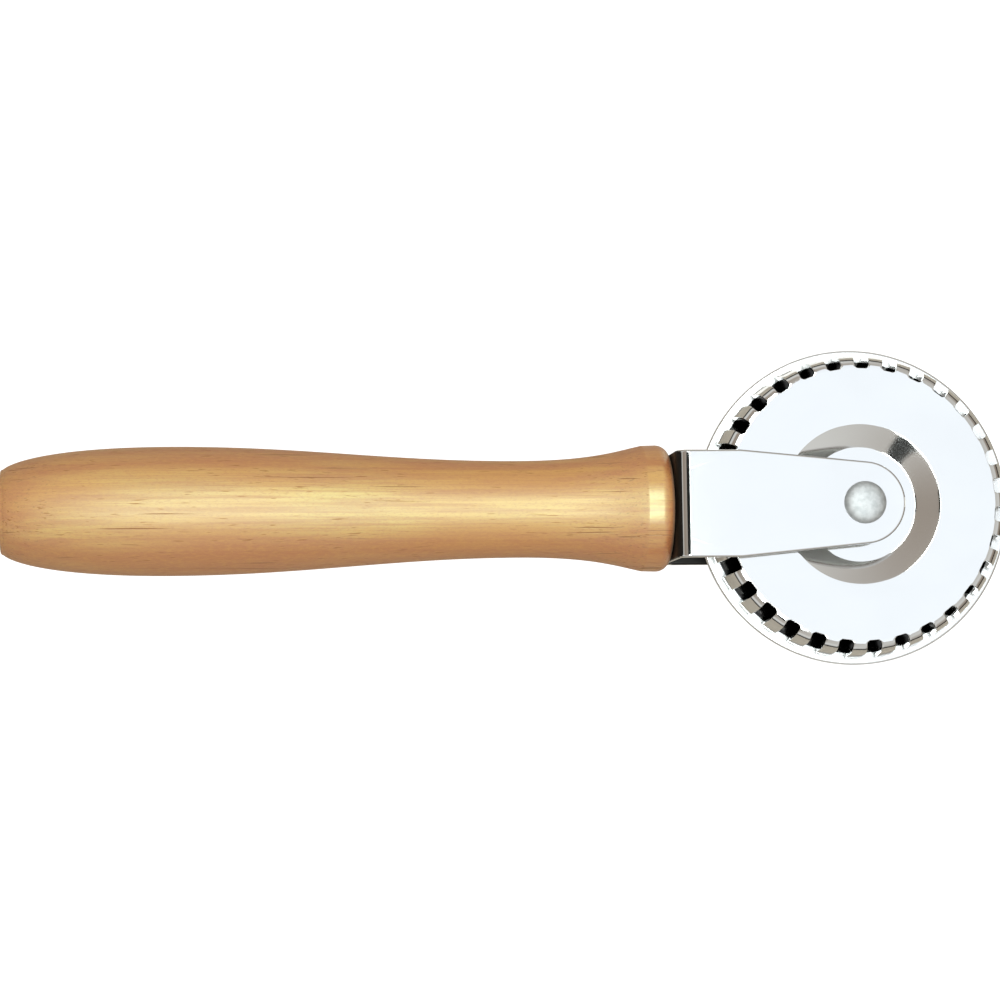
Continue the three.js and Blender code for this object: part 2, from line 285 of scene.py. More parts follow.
def varnishedWood():
    look = woodLook
    nodes = Nodes(bpy.data.materials.new("varnishedWood"))
    tilt = look["grainTilt"]
    place = nodes.add("ShaderNodeSeparateXYZ", Vector=nodes.place((1, 1, 1)))
    facing = nodes.add("ShaderNodeSeparateXYZ",
                       Vector=nodes.add("ShaderNodeNewGeometry").outputs["Normal"])
    marks = {}
    for name, (cells, detail, roughness, shift) in look["noises"].items():
        marks[name] = nodes.noise(cells, detail, roughness, tilt, shift)
    marks["slope"] = nodes.calc("ABSOLUTE", facing.outputs["X"])
    # growth rings about a pith below the handle, seen as long soft bands
    ringPlace = nodes.place(look["ringStretch"], tilt, [-value for value in look["pith"]])
    rings = nodes.add("ShaderNodeTexWave", {"wave_type": "RINGS", "rings_direction": "X"},
                      Vector=ringPlace, Scale=look["ringScale"], Distortion=look["ringWobble"],
                      Detail=look["ringDetail"], Detail_Scale=look["ringDetailScale"])
    marks["rings"] = rings.outputs["Fac"]
    # painted shade: redder wood towards both sides, with a painted highlight of gold along the lit middle
    off = nodes.calc("ABSOLUTE", nodes.calc("SUBTRACT", place.outputs["Y"], look["paintedHighlightMiddle"]))
    sway = nodes.span(marks["sway"], 0.0, 1.0, -0.5 * look["redSway"], 0.5 * look["redSway"])
    marks["sides"] = nodes.calc("ADD", off, sway)
    # open pores: long lines, short dashes, and dots where the surface cuts across the grain
    limit = nodes.span(marks["poreField"], *look["poreFieldRange"], *look["poreLimits"])
    longDepth = nodes.ramp(nodes.calc("SUBTRACT", marks["longPores"], limit), *look["longRange"])
    shortDepth = nodes.ramp(nodes.calc("SUBTRACT", marks["shortPores"], limit), *look["shortRange"])
    dotDepth = nodes.calc("MULTIPLY", nodes.ramp(marks["dots"], *look["dotRange"]),
                          nodes.ramp(marks["slope"], *look["dotSlope"]))
    endGrainAndShade = nodes.ramp(marks["slope"], *look["endSlope"])  # painted shade: the cut ends darkened, standing in for the shadow on the front by the yoke; end grain is also darker in its own right

    colour = nodes.mix(nodes.ramp(marks["clouds"], *look["goldClouds"]), look["honey"], look["gold"])
    for name, low, high, share, towards in look["tints"]:
        colour = nodes.tint(colour, nodes.ramp(marks[name], low, high), share, look[towards])
    colour = nodes.tint(colour, shortDepth, look["shortShare"], look["pore"])
    colour = nodes.tint(colour, dotDepth, look["dotShare"], look["pore"])
    colour = nodes.tint(colour, longDepth, look["longShare"], look["pore"])
    # painted shade in part: the cut ends take the dark end-grain colour
    colour = nodes.tint(colour, endGrainAndShade, look["endShare"], look["endGrainShade"])

    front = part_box("handle")[1].x
    onLand = nodes.ramp(place.outputs["X"], front - look["landFrom"], front - look["landTo"])
    rough = nodes.span(onLand, 0.0, 1.0, look["bodyRoughness"], look["landRoughness"])
    fibreRough = nodes.span(marks["fibres"], *look["fibreRange"], *look["fibreRoughness"])
    rough = nodes.calc("ADD", rough, fibreRough)
    rough = nodes.addShare(rough, longDepth, look["poreRoughness"])
    rough = nodes.addShare(rough, shortDepth, look["poreRoughness"])
    rough = nodes.addShare(rough, endGrainAndShade, look["endRoughness"])

    # turning marks around the handle, raised fibres, and pores sunk in the varnish
    relief = nodes.bump(nodes.noise(*look["turningMarks"]), *look["markRelief"])
    relief = nodes.bump(marks["fibres"], *look["fibreRelief"], relief)
    relief = nodes.bump(nodes.calc("MULTIPLY", longDepth, -1.0), *look["poreRelief"], relief)
    return nodes.finish({"Base Color": colour, "Roughness": rough, "Normal": relief,
                         "IOR": look["refraction"], "Specular IOR Level": look["specular"],
                         "Specular Tint": look["sheen"]})


# steels: a noise has its cells to a metre, detail, roughness and turn, a relief its depth and strength

mottleRange = (0.35, 0.7)  # where a noise begins to show in the colour, and is full
grainRange = (0.3, 0.7)  # the same in the roughness

polishedLook = {
    "bright": (0.62, 0.62, 0.62, 1), "smeared": (0.60, 0.60, 0.60, 1),
    "smears": ((55, 80, 80), 3.0), "hairlines": ((700, 9000, 2500), 2.0, 0.6, (0, 0, 0.35)),
    "waves": ((140, 140, 140), 1.0),
    "hairlineShare": 0.4, "wearRange": (0.4, 0.95), "roughness": (0.05, 0.09),
    "hairlineRelief": (0.0006 * mm, 0.35), "waveRelief": (0.006 * mm, 0.5),
    "bandFade": 0.3 * mm,
}


def polishedSteel(name, satinBand=None, satin=0.0):  # duller in a band about the axle, if one is given
    look = polishedLook
    nodes = Nodes(bpy.data.materials.new(name))
    smears = nodes.noise(*look["smears"])
    hairlines = nodes.noise(*look["hairlines"])
    colour = nodes.mix(nodes.ramp(smears, *mottleRange), look["bright"], look["smeared"])
    wear = nodes.addShare(smears, hairlines, look["hairlineShare"])
    rough = nodes.span(wear, *look["wearRange"], *look["roughness"])
    if satinBand:
        radius = nodes.fromAxle()
        pastStart = nodes.ramp(radius, satinBand[0] - look["bandFade"], satinBand[0])
        beforeEnd = nodes.ramp(radius, satinBand[1] + look["bandFade"], satinBand[1])
        rough = nodes.addShare(rough, nodes.calc("MULTIPLY", pastStart, beforeEnd), satin)
    relief = nodes.bump(nodes.noise(*look["waves"]), *look["waveRelief"])
    relief = nodes.bump(hairlines, *look["hairlineRelief"], relief)
    return nodes.finish({"Base Color": colour, "Roughness": rough, "Normal": relief, "Metallic": 1.0})


satinLook = {
    "bright": (0.55, 0.565, 0.575, 1), "dented": (0.44, 0.455, 0.465, 1),
    "dents": ((900, 900, 900), 3.0, 0.6), "grain": ((5200, 5200, 5200), 2.0),
    "roughness": (0.58, 0.68), "dentRelief": (0.09 * mm, 0.6), "grainRelief": (0.008 * mm, 0.5),
}


def satinSteel():
    look = satinLook
    nodes = Nodes(bpy.data.materials.new("satinSteel"))
    dents = nodes.noise(*look["dents"])
    grain = nodes.noise(*look["grain"])
    colour = nodes.mix(nodes.ramp(dents, *mottleRange), look["bright"], look["dented"])
    rough = nodes.span(grain, *grainRange, *look["roughness"])
    relief = nodes.bump(dents, *look["dentRelief"], nodes.bump(grain, *look["grainRelief"]))
    return nodes.finish({"Base Color": colour, "Roughness": rough, "Normal": relief, "Metallic": 1.0})


groundLook = {
    # black: a painted shade, for the disc under the crowns and for the strap's back
    "bright": polishedLook["bright"], "smeared": (0.58, 0.58, 0.58, 1), "black": (0.025, 0.024, 0.023, 1),
    "smears": ((70, 70, 70), 3.0), "rings": (1600.0, 1.5, 3.0),
    "wearRange": (0.4, 1.6), "roughness": (0.07, 0.12), "ringRelief": (0.0015 * mm, 0.4),
    "rimFrom": 26.4 * mm, "rimTo": 26.65 * mm, "rimSatin": 0.2,
}


def groundSteelPaintedShade():  # painted shade: black under the crowns, where the cups shade the disc; bright along the rim
    look = groundLook
    nodes = Nodes(bpy.data.materials.new("groundSteelPaintedShade"))
    rings = nodes.latheRings(*look["rings"])
    smears = nodes.noise(*look["smears"])
    onRim = nodes.ramp(nodes.fromAxle(), look["rimFrom"], look["rimTo"])
    bright = nodes.mix(nodes.ramp(smears, *mottleRange), look["bright"], look["smeared"])
    # painted shade: the disc is black inside the rim
    colour = nodes.mix(onRim, look["black"], bright)
    rough = nodes.span(nodes.calc("ADD", smears, rings), *look["wearRange"], *look["roughness"])
    rough = nodes.addShare(rough, onRim, look["rimSatin"])
    relief = nodes.bump(rings, *look["ringRelief"])
    return nodes.finish({"Base Color": colour, "Roughness": rough, "Normal": relief, "Metallic": 1.0})


sheetLook = {
    # painted light: the strap's inside is near-white
    "inside": (0.95, 0.95, 0.93, 1), "insideRoughness": (0.85, 1.0),
    # painted shade: the strap's back and the rear arm's inside are black
    "back": groundLook["black"], "backRoughness": (0.40, 0.55),
    "grain": ((400, 2600, 2600), 3.0, 0.6), "grainRelief": (0.004 * mm, 0.5),
}


def sheetSteel(name, colour, roughness):  # sheet steel in a given colour: near-white for the strap's inside as painted light, black for its back as painted shade
    nodes = Nodes(bpy.data.materials.new(name))
    grain = nodes.noise(*sheetLook["grain"])
    rough = nodes.span(grain, *grainRange, *roughness)
    relief = nodes.bump(grain, *sheetLook["grainRelief"])
    return nodes.finish({"Base Color": colour, "Roughness": rough, "Normal": relief, "Metallic": 1.0})


turnedLook = {
    "bright": (0.50, 0.51, 0.51, 1), "oily": (0.40, 0.40, 0.39, 1), "oil": ((210, 210, 210), 3.0),
    "roughness": (0.22, 0.36), "rings": (900.0, 0.6, 2.0), "ringRelief": (0.006 * mm, 0.5),
}


def turnedSteel():
    look = turnedLook
    nodes = Nodes(bpy.data.materials.new("turnedSteel"))
    oil = nodes.noise(*look["oil"])
    colour = nodes.mix(nodes.ramp(oil, *mottleRange), look["bright"], look["oily"])
    rough = nodes.span(oil, *grainRange, *look["roughness"])
    relief = nodes.bump(nodes.latheRings(*look["rings"]), *look["ringRelief"])
    return nodes.finish({"Base Color": colour, "Roughness": rough, "Normal": relief, "Metallic": 1.0})


wood = varnishedWood()
polished = polishedSteel("polishedSteel")
ground = groundSteelPaintedShade()
satin = satinSteel()
plainTurned = turnedSteel()
strapInsidePaintedLight = sheetSteel("strapInsidePaintedLight", sheetLook["inside"], sheetLook["insideRoughness"])
strapPaintedShade = sheetSteel("strapPaintedShade", sheetLook["back"], sheetLook["backRoughness"])
print("materials ready")


# handle: turned hardwood, butt to the left

handleForm = {
    "buttRadius": 7.6 * mm, "buttEdge": 0.5 * mm,
    "palmRadius": 11.5 * mm, "palmFromButt": 30.2 * mm,
    "waistRadius": 8.7 * mm, "waistFromFront": 27.3 * mm,
    "collarRadius": 11.4 * mm, "landBack": 4.8 * mm, "landFront": 2.3 * mm, "landRise": 0.07 * mm,
    "flareSlope": math.tan(math.radians(12)), "frontRounding": 2.2 * mm,
    "boreRadius": 2.15 * mm, "boreDepth": 31.8 * mm, "borePoint": 5 * mm,
    # how far a curve is led on at its ends, as a share of its length
    "buttLead": 0.035, "palmLeadBack": 0.73, "palmLead": 0.385,
    "waistLeadBack": 0.37, "waistLead": 0.60, "flareLead": 0.2,
    "landShares": (0.04, 0.3, 0.6),                  # where the land's points stand along it
    "edgeSteps": 6, "swellSteps": 40, "gripSteps": 60, "flareSteps": 40, "frontSteps": 14, "sides": 144,
    "crease": math.radians(40),
}


def makeHandle():
    form = handleForm
    low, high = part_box("handle")
    butt, front = low.x, high.x
    palm = butt + form["palmFromButt"]
    waist = front - form["waistFromFront"]
    landBack, landFront = front - form["landBack"], front - form["landFront"]
    swell, grip, throat = palm - butt, waist - palm, landBack - waist
    buttRadius, palmRadius, waistRadius = form["buttRadius"], form["palmRadius"], form["waistRadius"]
    landRadius = form["collarRadius"] - form["landRise"]
    edge, buttLead, flareLead = form["buttEdge"], form["buttLead"] * swell, form["flareLead"] * throat
    outline = [(0, butt)]
    outline += arc((buttRadius - edge, butt + edge), (edge, edge), -quarterTurn, 0, form["edgeSteps"])
    outline += curve((buttRadius, butt + edge), (buttRadius + buttLead, butt + edge + buttLead),
                     (palmRadius, palm - form["palmLeadBack"] * swell), (palmRadius, palm),
                     form["swellSteps"])[1:]
    outline += curve((palmRadius, palm), (palmRadius, palm + form["palmLead"] * grip),
                     (waistRadius, waist - form["waistLeadBack"] * grip), (waistRadius, waist),
                     form["gripSteps"])[1:]
    outline += curve((waistRadius, waist), (waistRadius, waist + form["waistLead"] * throat),
                     (landRadius - flareLead * form["flareSlope"], landBack - flareLead),
                     (landRadius, landBack), form["flareSteps"])[1:]
    for share in form["landShares"]:
        outline.append((landRadius + share * form["landRise"], landBack + share * (landFront - landBack)))
    outline += arc((form["collarRadius"] - form["frontRounding"], landFront),
                   (form["frontRounding"], form["landFront"]), 0, quarterTurn, form["frontSteps"])
    bore, boreEnd = form["boreRadius"], front - form["boreDepth"]
    outline += [(bore, front), (bore, boreEnd + form["borePoint"]), (0, boreEnd)]
    bm = turned(outline, form["sides"], "X")
    return makePiece("turned_handle", bm, wood, "frame", "handle", form["crease"])


makeHandle()


# yoke: one strap, cut flat, drilled, its edges eased, then bent round the web

yokeForm = {
    "thickness": 1.2 * mm, "bendInside": 1.2 * mm, "straight": 9.2 * mm, "tipRadius": 7.4 * mm,
    "rivetHole": 2.46 * mm, "screwHole": 2.15 * mm,
    "edgeRounding": 0.45 * mm, "edgeSegments": 3, "edgeAngle": math.radians(60), "crease": math.radians(40),
    "bendSteps": 20, "tipSteps": 72, "holeSteps": 48,
    "backFrom": 0.60, "insideFrom": 0.70,            # how squarely a face looks at the wood, or inwards
}


def makeYoke():
    form = yokeForm
    low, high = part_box("yoke")
    sheet = form["thickness"]
    outerBend = form["bendInside"] + sheet
    middleBend = form["bendInside"] + sheet / 2
    webBack = low.x - axle.x                         # sizes from here are about the axle
    half = (high.y - low.y) / 2
    armOut = (high.z - low.z) / 2
    bendFrom = armOut - outerBend                    # along the strap, from the middle of the web
    bendTo = bendFrom + middleBend * quarterTurn
    armStart = webBack + outerBend
    axleAlong = bendTo - armStart
    taperStart = armStart + form["straight"]
    reach = math.hypot(taperStart, half)
    touch = math.atan2(half, taperStart) - math.acos(form["tipRadius"] / reach)
    tip = arc((axleAlong, 0), (form["tipRadius"], form["tipRadius"]), -touch, touch, form["tipSteps"])
    upper = [(axleAlong + taperStart, -half)] + tip + [(axleAlong + taperStart, half)]
    outline = upper + [(-along, across) for along, across in reversed(upper)]

    bm = bmesh.new()

    def loop(points):
        corners = [bm.verts.new((along, across, 0)) for along, across in points]
        for a, b in zip(corners, corners[1:] + corners[:1]):
            bm.edges.new((a, b))

    def hole(along, radius):
        steps = form["holeSteps"]
        loop(arc((along, 0), (radius, radius), 0, fullTurn * (1 - 1 / steps), steps - 1))

    loop(outline)
    hole(axleAlong, form["rivetHole"])
    hole(-axleAlong, form["rivetHole"])
    hole(0, form["screwHole"])
    bmesh.ops.triangle_fill(bm, use_beauty=True, edges=bm.edges)
    for step in range(form["bendSteps"] + 1):
        along = bendFrom + (bendTo - bendFrom) * step / form["bendSteps"]
        for side in (-1, 1):
            everything = list(bm.verts) + list(bm.edges) + list(bm.faces)
            bmesh.ops.bisect_plane(bm, geom=everything, plane_co=(side * along, 0, 0), plane_no=(1, 0, 0))
    bmesh.ops.recalc_face_normals(bm, faces=bm.faces)
    flipped = [face for face in bm.faces if face.normal.z > 0]
    bmesh.ops.reverse_faces(bm, faces=flipped)
    grown = bmesh.ops.extrude_face_region(bm, geom=list(bm.faces))
    lifted = [item for item in grown["geom"] if isinstance(item, bmesh.types.BMVert)]
    bmesh.ops.translate(bm, verts=lifted, vec=(0, 0, sheet))
    bmesh.ops.translate(bm, verts=bm.verts, vec=(0, 0, -sheet / 2))
    bmesh.ops.recalc_face_normals(bm, faces=bm.faces)
    rims = [edge for edge in bm.edges
            if len(edge.link_faces) == 2 and edge.calc_face_angle() > form["edgeAngle"]
            and abs(edge.verts[0].co.z - edge.verts[1].co.z) < sheet / 2]
    bmesh.ops.bevel(bm, geom=rims, offset=form["edgeRounding"], segments=form["edgeSegments"],
                    profile=roundProfile, affect="EDGES")

    for vert in bm.verts:                            # bend the flat strap round the web
        along, across, out = vert.co
        side = 1 if along >= 0 else -1
        length = abs(along)
        if length <= bendFrom:
            x, z = webBack + sheet / 2 - out, length
        elif length <= bendTo:
            angle = (length - bendFrom) / middleBend
            x = webBack + outerBend - (middleBend + out) * math.cos(angle)
            z = bendFrom + (middleBend + out) * math.sin(angle)
        else:
            x, z = armStart + length - bendTo, armOut - sheet / 2 + out
        vert.co = axle + Vector((x, across, side * z))
    bmesh.ops.recalc_face_normals(bm, faces=bm.faces)
    yoke = makePiece("bent_yoke", bm, polished, "frame", "yoke", form["crease"])
    yoke.data.materials.append(strapInsidePaintedLight)
    yoke.data.materials.append(strapPaintedShade)
    paintedLightIndex, paintedShadeIndex = 1, 2                    # only the outside of the arms is polished; the back and the rear arm's inside take a painted shade, the front arm's inside a painted light
    for face in yoke.data.polygons:
        lift = face.center.z - axle.z
        facesWheel = face.normal.z * lift < -form["insideFrom"] * abs(lift)
        inward = facesWheel or face.normal.x > form["insideFrom"]
        # painted shade: faces towards the wood and the rear arm's inside turn black
        if face.normal.x < -form["backFrom"] or inward and lift < 0:
            face.material_index = paintedShadeIndex
        # painted light: the front arm's inside turns near-white
        elif inward:
            face.material_index = paintedLightIndex
    return yoke


makeYoke()


# crimping crowns: stamped cups with a ring of bent tabs

crownForm = {
    "sheet": 0.8 * mm, "teeth": 31, "slotWidth": 2.7 * mm, "slotCorner": 0.7 * mm,
    "slotPhase": math.radians(7.2), "slotBite": 2.0 * mm,
    "tabDepth": 6.4 * mm, "tabFlare": 1.0 * mm, "bendInside": 1.5 * mm, "reveal": 1.1 * mm,
    "hubRadius": 10.25 * mm, "bore": bushSeat,
    "dishWidth": 4.2 * mm, "dishDepth": 1.55 * mm, "dishRounding": 0.10 * mm, "dishSatin": 0.015,
    "margin": 0.2 * mm,                              # strips that keep the dish's shading off the flats
    "edgeRounding": 0.06 * mm, "edgeSegments": 2, "edgeAngle": math.radians(55), "crease": math.radians(50),
    "dishSteps": 18, "flatSteps": 5, "cornerSteps": 5, "bendSteps": 9, "tabSteps": 6,
    "tabColumns": 6, "slotColumns": 4,
    "tabWander": 0.07 * mm, "wanderSeeds": {1: 31, -1: 62},  # for the front and the rear
}


def crownSection(face, tipRadius):
    form = crownForm
    lean = math.atan2(form["tabFlare"], form["tabDepth"])
    bend = form["bendInside"] + form["sheet"]
    bendRadius = tipRadius - form["tabFlare"] - bend * math.tan((quarterTurn - lean) / 2)
    slotRoot = tipRadius - form["tabFlare"] - form["slotBite"]
    hubRadius, rounding, margin = form["hubRadius"], form["dishRounding"], form["margin"]
    dish = hubRadius + form["dishWidth"]
    hub = face - form["dishDepth"]
    inner = [(form["bore"], hub), ((form["bore"] + hubRadius) / 2, hub), (hubRadius - margin, hub)]
    inner += curve((hubRadius, hub), (hubRadius + rounding, hub), (dish - rounding, face), (dish, face),
                   form["dishSteps"])
    inner.append((dish + margin, face))
    inner += straight((dish, face), (slotRoot, face), form["flatSteps"])
    outer = []
    for step in range(1, form["cornerSteps"] + 1):
        radius = slotRoot + form["slotCorner"] * (1 - math.cos(quarterTurn * step / form["cornerSteps"]))
        if radius < bendRadius:
            outer.append((radius, face))
    outer += arc((bendRadius, face - bend), (bend, bend), quarterTurn, lean, form["bendSteps"])
    outer += straight(outer[-1], (tipRadius, face - form["tabDepth"]), form["tabSteps"])
    return inner, outer, slotRoot


def offsetPoints(points, sheet):  # the inside of the sheet, square to its outside
    inside = []
    for i, point in enumerate(points):
        before, after = Vector(points[max(i - 1, 0)]), Vector(points[min(i + 1, len(points) - 1)])
        along = (after - before).normalized()
        inside.append((point[0] + sheet * along.y, point[1] - sheet * along.x))
    return inside


def slotHalfWidth(beyondRoot):
    half, corner = crownForm["slotWidth"] / 2, crownForm["slotCorner"]
    if beyondRoot >= corner:
        return half
    return half - corner + math.sqrt(max(0.0, corner**2 - (corner - beyondRoot)**2))


def makeCrown(name, node, side):
    form = crownForm
    teeth, tabColumns, slotColumns = form["teeth"], form["tabColumns"], form["slotColumns"]
    pitch, period = fullTurn / teeth, slotColumns + tabColumns
    around = teeth * period
    low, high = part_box(node)
    face = max(abs(low.z - axle.z), abs(high.z - axle.z))
    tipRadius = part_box("cutter_disc")[1].y - form["reveal"]
    inner, outer, slotRoot = crownSection(face, tipRadius)
    path = inner + outer
    under = offsetPoints(path, form["sheet"])
    lengths = [0.0]
    for a, b in zip(path, path[1:]):
        lengths.append(lengths[-1] + math.dist(a, b))
    rootLength = lengths[len(inner) - 1]
    dice = random.Random(form["wanderSeeds"][side])
    wander = [dice.uniform(-1, 1) * form["tabWander"] for tooth in range(teeth)]
    bm = bmesh.new()

    def put(radius, height, angle):
        x, y = radius * math.cos(angle), radius * math.sin(angle)
        return bm.verts.new(axle + Vector((x, y, side * height)))

    def tabAngle(tooth, share, radius, halfWidth):   # across the tab after slot number tooth
        sweep = math.asin(halfWidth / radius)
        start = form["slotPhase"] + tooth * pitch + sweep
        return start + (pitch - 2 * sweep) * share

    rootHalf = slotHalfWidth(0)
    rootSweep = math.asin(rootHalf / slotRoot)
    ringAngles = []                                  # the same in every row inside the slots
    for tooth in range(teeth):
        slotStart = form["slotPhase"] + tooth * pitch - rootSweep
        ringAngles += [slotStart + 2 * rootSweep * column / slotColumns for column in range(slotColumns)]
        ringAngles += [tabAngle(tooth, column / tabColumns, slotRoot, rootHalf)
                       for column in range(tabColumns)]

    def tabRow(skinPoints, i, tooth):
        radius, height = skinPoints[i]
        beyond = lengths[i] - rootLength
        radius += wander[tooth] * (beyond / (lengths[-1] - rootLength))**2
        angles = [tabAngle(tooth, column / tabColumns, path[i][0], slotHalfWidth(beyond))
                  for column in range(tabColumns + 1)]
        return [put(radius, height, angle) for angle in angles]

    rings, tabs = [], []                             # skins 0 and 1 are the outside and the inside
    for points in (path, under):
        rings.append([[put(radius, height, angle) for angle in ringAngles]
                      for radius, height in points[:len(inner)]])
        tabs.append([[tabRow(points, i, tooth) for i in range(len(inner), len(points))]
                     for tooth in range(teeth)])

    def sheetFace(skin, a, b, c, d):
        bm.faces.new((a, b, c, d) if skin == 0 else (d, c, b, a))

    def tabRows(skin, tooth):                        # from the ring's last row to the tab's end
        first = tooth * period + slotColumns
        rootRow = [rings[skin][-1][(first + column) % around] for column in range(tabColumns + 1)]
        return [rootRow] + tabs[skin][tooth]

    for skin in (0, 1):
        for lower, upper in zip(rings[skin], rings[skin][1:]):
            for i in range(around):
                j = (i + 1) % around
                sheetFace(skin, lower[i], upper[i], upper[j], lower[j])
        for tooth in range(teeth):
            rows = tabRows(skin, tooth)
            for lower, upper in zip(rows, rows[1:]):
                for i in range(tabColumns):
                    sheetFace(skin, lower[i], upper[i], upper[i + 1], lower[i + 1])

    def edgeFace(outside, inside, i, j):             # closes the sheet between its two skins
        bm.faces.new((outside[i], outside[j], inside[j], inside[i]))

    for tooth in range(teeth):                       # cut edges: tab sides, tab ends, slot roots, bore
        outside, inside = tabRows(0, tooth), tabRows(1, tooth)
        for i in range(len(outside) - 1):
            for column in (0, -1):
                bm.faces.new((outside[i][column], outside[i + 1][column],
                              inside[i + 1][column], inside[i][column]))
        for i in range(tabColumns):
            edgeFace(outside[-1], inside[-1], i, i + 1)
        for column in range(slotColumns):
            i = tooth * period + column
            edgeFace(rings[0][-1], rings[1][-1], i, (i + 1) % around)
    for i in range(around):
        edgeFace(rings[0][0], rings[1][0], i, (i + 1) % around)
    bmesh.ops.recalc_face_normals(bm, faces=bm.faces)
    rims = [edge for edge in bm.edges if edge.calc_face_angle() > form["edgeAngle"]]
    bmesh.ops.bevel(bm, geom=rims, offset=form["edgeRounding"], segments=form["edgeSegments"],
                    profile=roundProfile, affect="EDGES")
    return makePiece(name, bm, stamped, "wheel", node, form["crease"])


dishBand = (crownForm["hubRadius"], crownForm["hubRadius"] + crownForm["dishWidth"])
stamped = polishedSteel("stampedSteel", dishBand, crownForm["dishSatin"])
makeCrown("front_crown", "front_crimp_crown", 1)
makeCrown("rear_crown", "rear_crimp_crown", -1)


# cutter: thin disc, ground from both faces

cutterForm = {
    "grind": 0.3 * mm, "edge": 0.64 * mm, "bore": bushSeat, "sides": 240,
    "edgeRounding": 0.08 * mm, "edgeSteps": 3, "crease": math.radians(35),
}


def makeCutter():
    form = cutterForm
    low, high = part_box("cutter_disc")
    radius, half = high.y, (high.z - low.z) / 2
    corners = [(form["bore"], -half), (radius - form["grind"], -half), (radius, -form["edge"] / 2),
               (radius, form["edge"] / 2), (radius - form["grind"], half), (form["bore"], half)]
    outline = eased(corners, form["edgeRounding"], form["edgeSteps"])
    bm = turned(outline, form["sides"], "Z", ring=True)
    return makePiece("ground_cutter", bm, ground, "wheel", "cutter_disc", form["crease"])


makeCutter()


# rivet: domed head in front, flatter formed head behind

rivetForm = {
    "shank": 2.4 * mm, "head": 3.8 * mm, "headHeight": 1.5 * mm, "tail": 3.6 * mm, "tailHeight": 1.3 * mm,
    "domeAcross": 0.667, "domeUp": 0.333,            # how full the domes are
    "headSteps": 16, "tailSteps": 14, "sides": 96, "crease": math.radians(50),
}


def makeRivet():
    form = rivetForm
    low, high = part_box("axle_rivet")
    top, bottom = high.z - axle.z, low.z - axle.z
    head, tail = form["head"], form["tail"]
    headFoot, tailFoot = top - form["headHeight"], bottom + form["tailHeight"]
    outline = curve((0, bottom), (tail * form["domeAcross"], bottom),
                    (tail, bottom + form["tailHeight"] * form["domeUp"]), (tail, tailFoot),
                    form["tailSteps"])
    outline += [(form["shank"], tailFoot), (form["shank"], headFoot)]
    outline += curve((head, headFoot), (head, top - form["headHeight"] * form["domeUp"]),
                     (head * form["domeAcross"], top), (0, top), form["headSteps"])
    bm = turned(outline, form["sides"], "Z")
    return makePiece("domed_rivet", bm, satin, "frame", "axle_rivet", form["crease"])


makeRivet()


# turned rings on the axle

ringForm = {
    "bores": {"hub_bush": rivetFit, "front_spacer": bushSeat, "rear_spacer": bushSeat,
              "front_thrust_collar": rivetFit, "rear_thrust_collar": rivetFit},
    "edgeRounding": 0.18 * mm, "edgeSteps": 4, "sides": 96, "crease": math.radians(35),
}


def makeRings():
    form = ringForm
    for node, bore in form["bores"].items():
        low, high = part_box(node)
        radius, bottom, top = high.y, low.z - axle.z, high.z - axle.z
        corners = [(bore, bottom), (radius, bottom), (radius, top), (bore, top)]
        outline = eased(corners, form["edgeRounding"], form["edgeSteps"])
        bm = turned(outline, form["sides"], "Z", ring=True)
        body = "frame" if "collar" in node else "wheel"
        makePiece("turned_" + node, bm, plainTurned, body, node, form["crease"])


makeRings()


# wood screw: slotted pan head inside the yoke, thread in the handle

screwForm = {
    "headRadius": 4.0 * mm, "headHeight": 2.3 * mm, "slotWidth": 1.1 * mm, "slotDepth": 1.1 * mm,
    "crest": 2.05 * mm, "core": 1.45 * mm, "pitch": 2.7 * mm, "plainLength": 9 * mm, "point": 5 * mm,
    "ridgeSlope": 3.2,                               # how narrow the thread's ridge is
    "headPullUp": 0.85, "headPullIn": 0.8,           # how full the head's edge is
    "headSteps": 8, "sides": 48, "rowsPerPitch": 10, "crease": math.radians(40),
}


def cutDriverSlot(screw, middle):
    form = screwForm
    cutter = bmesh.new()
    bmesh.ops.create_cube(cutter, size=1.0)
    slotLength = 3 * form["headRadius"]              # past both sides of the head
    slotSize = Matrix.Diagonal((2 * form["slotDepth"], slotLength, form["slotWidth"], 1.0))
    bmesh.ops.transform(cutter, verts=cutter.verts, matrix=Matrix.Translation(middle) @ slotSize)
    slotMesh = bpy.data.meshes.new("slotCutter")
    cutter.to_mesh(slotMesh)
    cutter.free()
    slotBlock = bpy.data.objects.new("slotCutter", slotMesh)
    bpy.context.scene.collection.objects.link(slotBlock)
    cut = screw.modifiers.new("slot", "BOOLEAN")
    cut.operation, cut.solver, cut.object = "DIFFERENCE", "EXACT", slotBlock
    bpy.context.view_layer.update()
    shaped = bpy.data.meshes.new_from_object(screw.evaluated_get(bpy.context.evaluated_depsgraph_get()))
    screw.modifiers.remove(cut)
    screw.data = shaped
    bpy.data.objects.remove(slotBlock)


